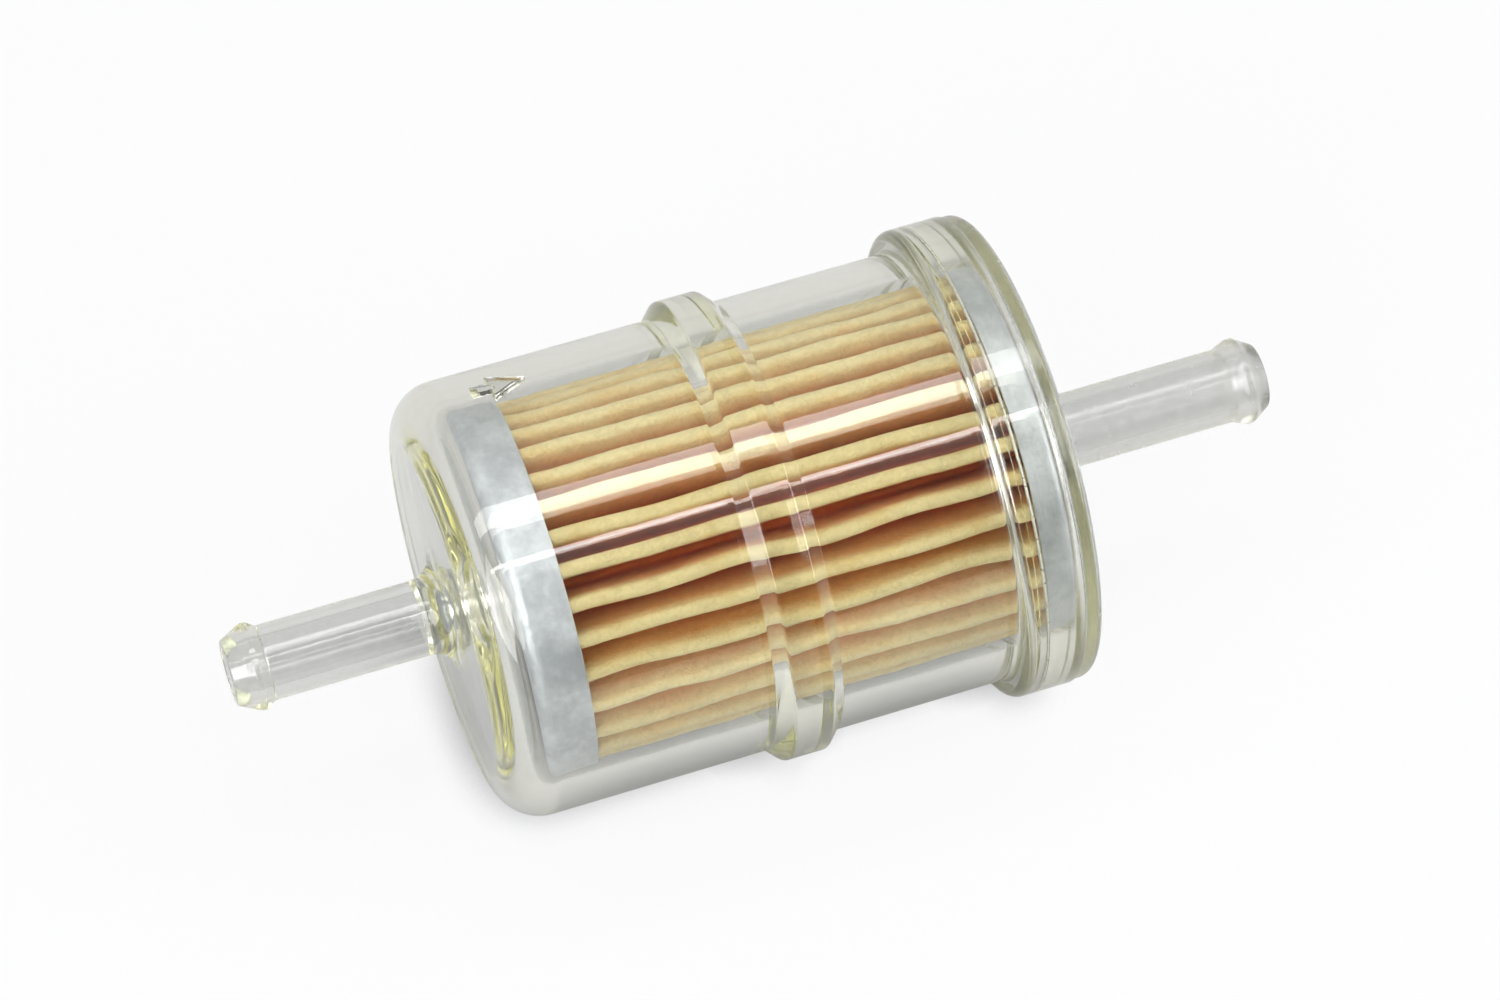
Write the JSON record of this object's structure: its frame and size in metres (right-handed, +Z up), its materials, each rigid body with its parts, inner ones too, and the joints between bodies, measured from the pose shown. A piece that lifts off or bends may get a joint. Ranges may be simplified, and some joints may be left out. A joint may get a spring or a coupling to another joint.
{
  "type": "inline fuel filter",
  "caption": "Clear welded in-line fuel filter with a hose nipple at each end, a banded barrel, and a pleated paper element held between metal end caps.",
  "frame": {"origin": "on the filter's axis, half way between the tips of the two hose nipples", "axes": "+X along the axis in the direction of flow, from the inlet nipple to the outlet nipple; +Z up with the filter lying down; the flow arrow is on the upper side, towards +Y"},
  "size_m": [0.1138, 0.051, 0.051],
  "materials": {
    "clear_plastic": "clear moulded plastic, polished, faintly yellow-green where it is thick",
    "weld_plastic": "re-set melt and flash of the clear plastic",
    "filter_paper": "resin-treated pleated filter paper, fuzzy on its folds",
    "core_steel": "bare perforated tube",
    "plated_steel": "dull bluish zinc plate, slightly wrinkled by the pressing",
    "sealant": "set potting sealant, matt",
    "grommet_rubber": "black fuel-resistant rubber"
  },
  "bodies": {
    "root": {"housing": "clear_plastic", "outlet_cover": "clear_plastic", "weld_bead": "weld_plastic", "pleated_paper": "filter_paper", "core_tube": "core_steel", "inlet_end_cap": "plated_steel", "outlet_end_cap": "plated_steel", "inlet_sealant": "sealant", "outlet_sealant": "sealant", "outlet_grommet": "grommet_rubber"}
  },
  "joints": []
}
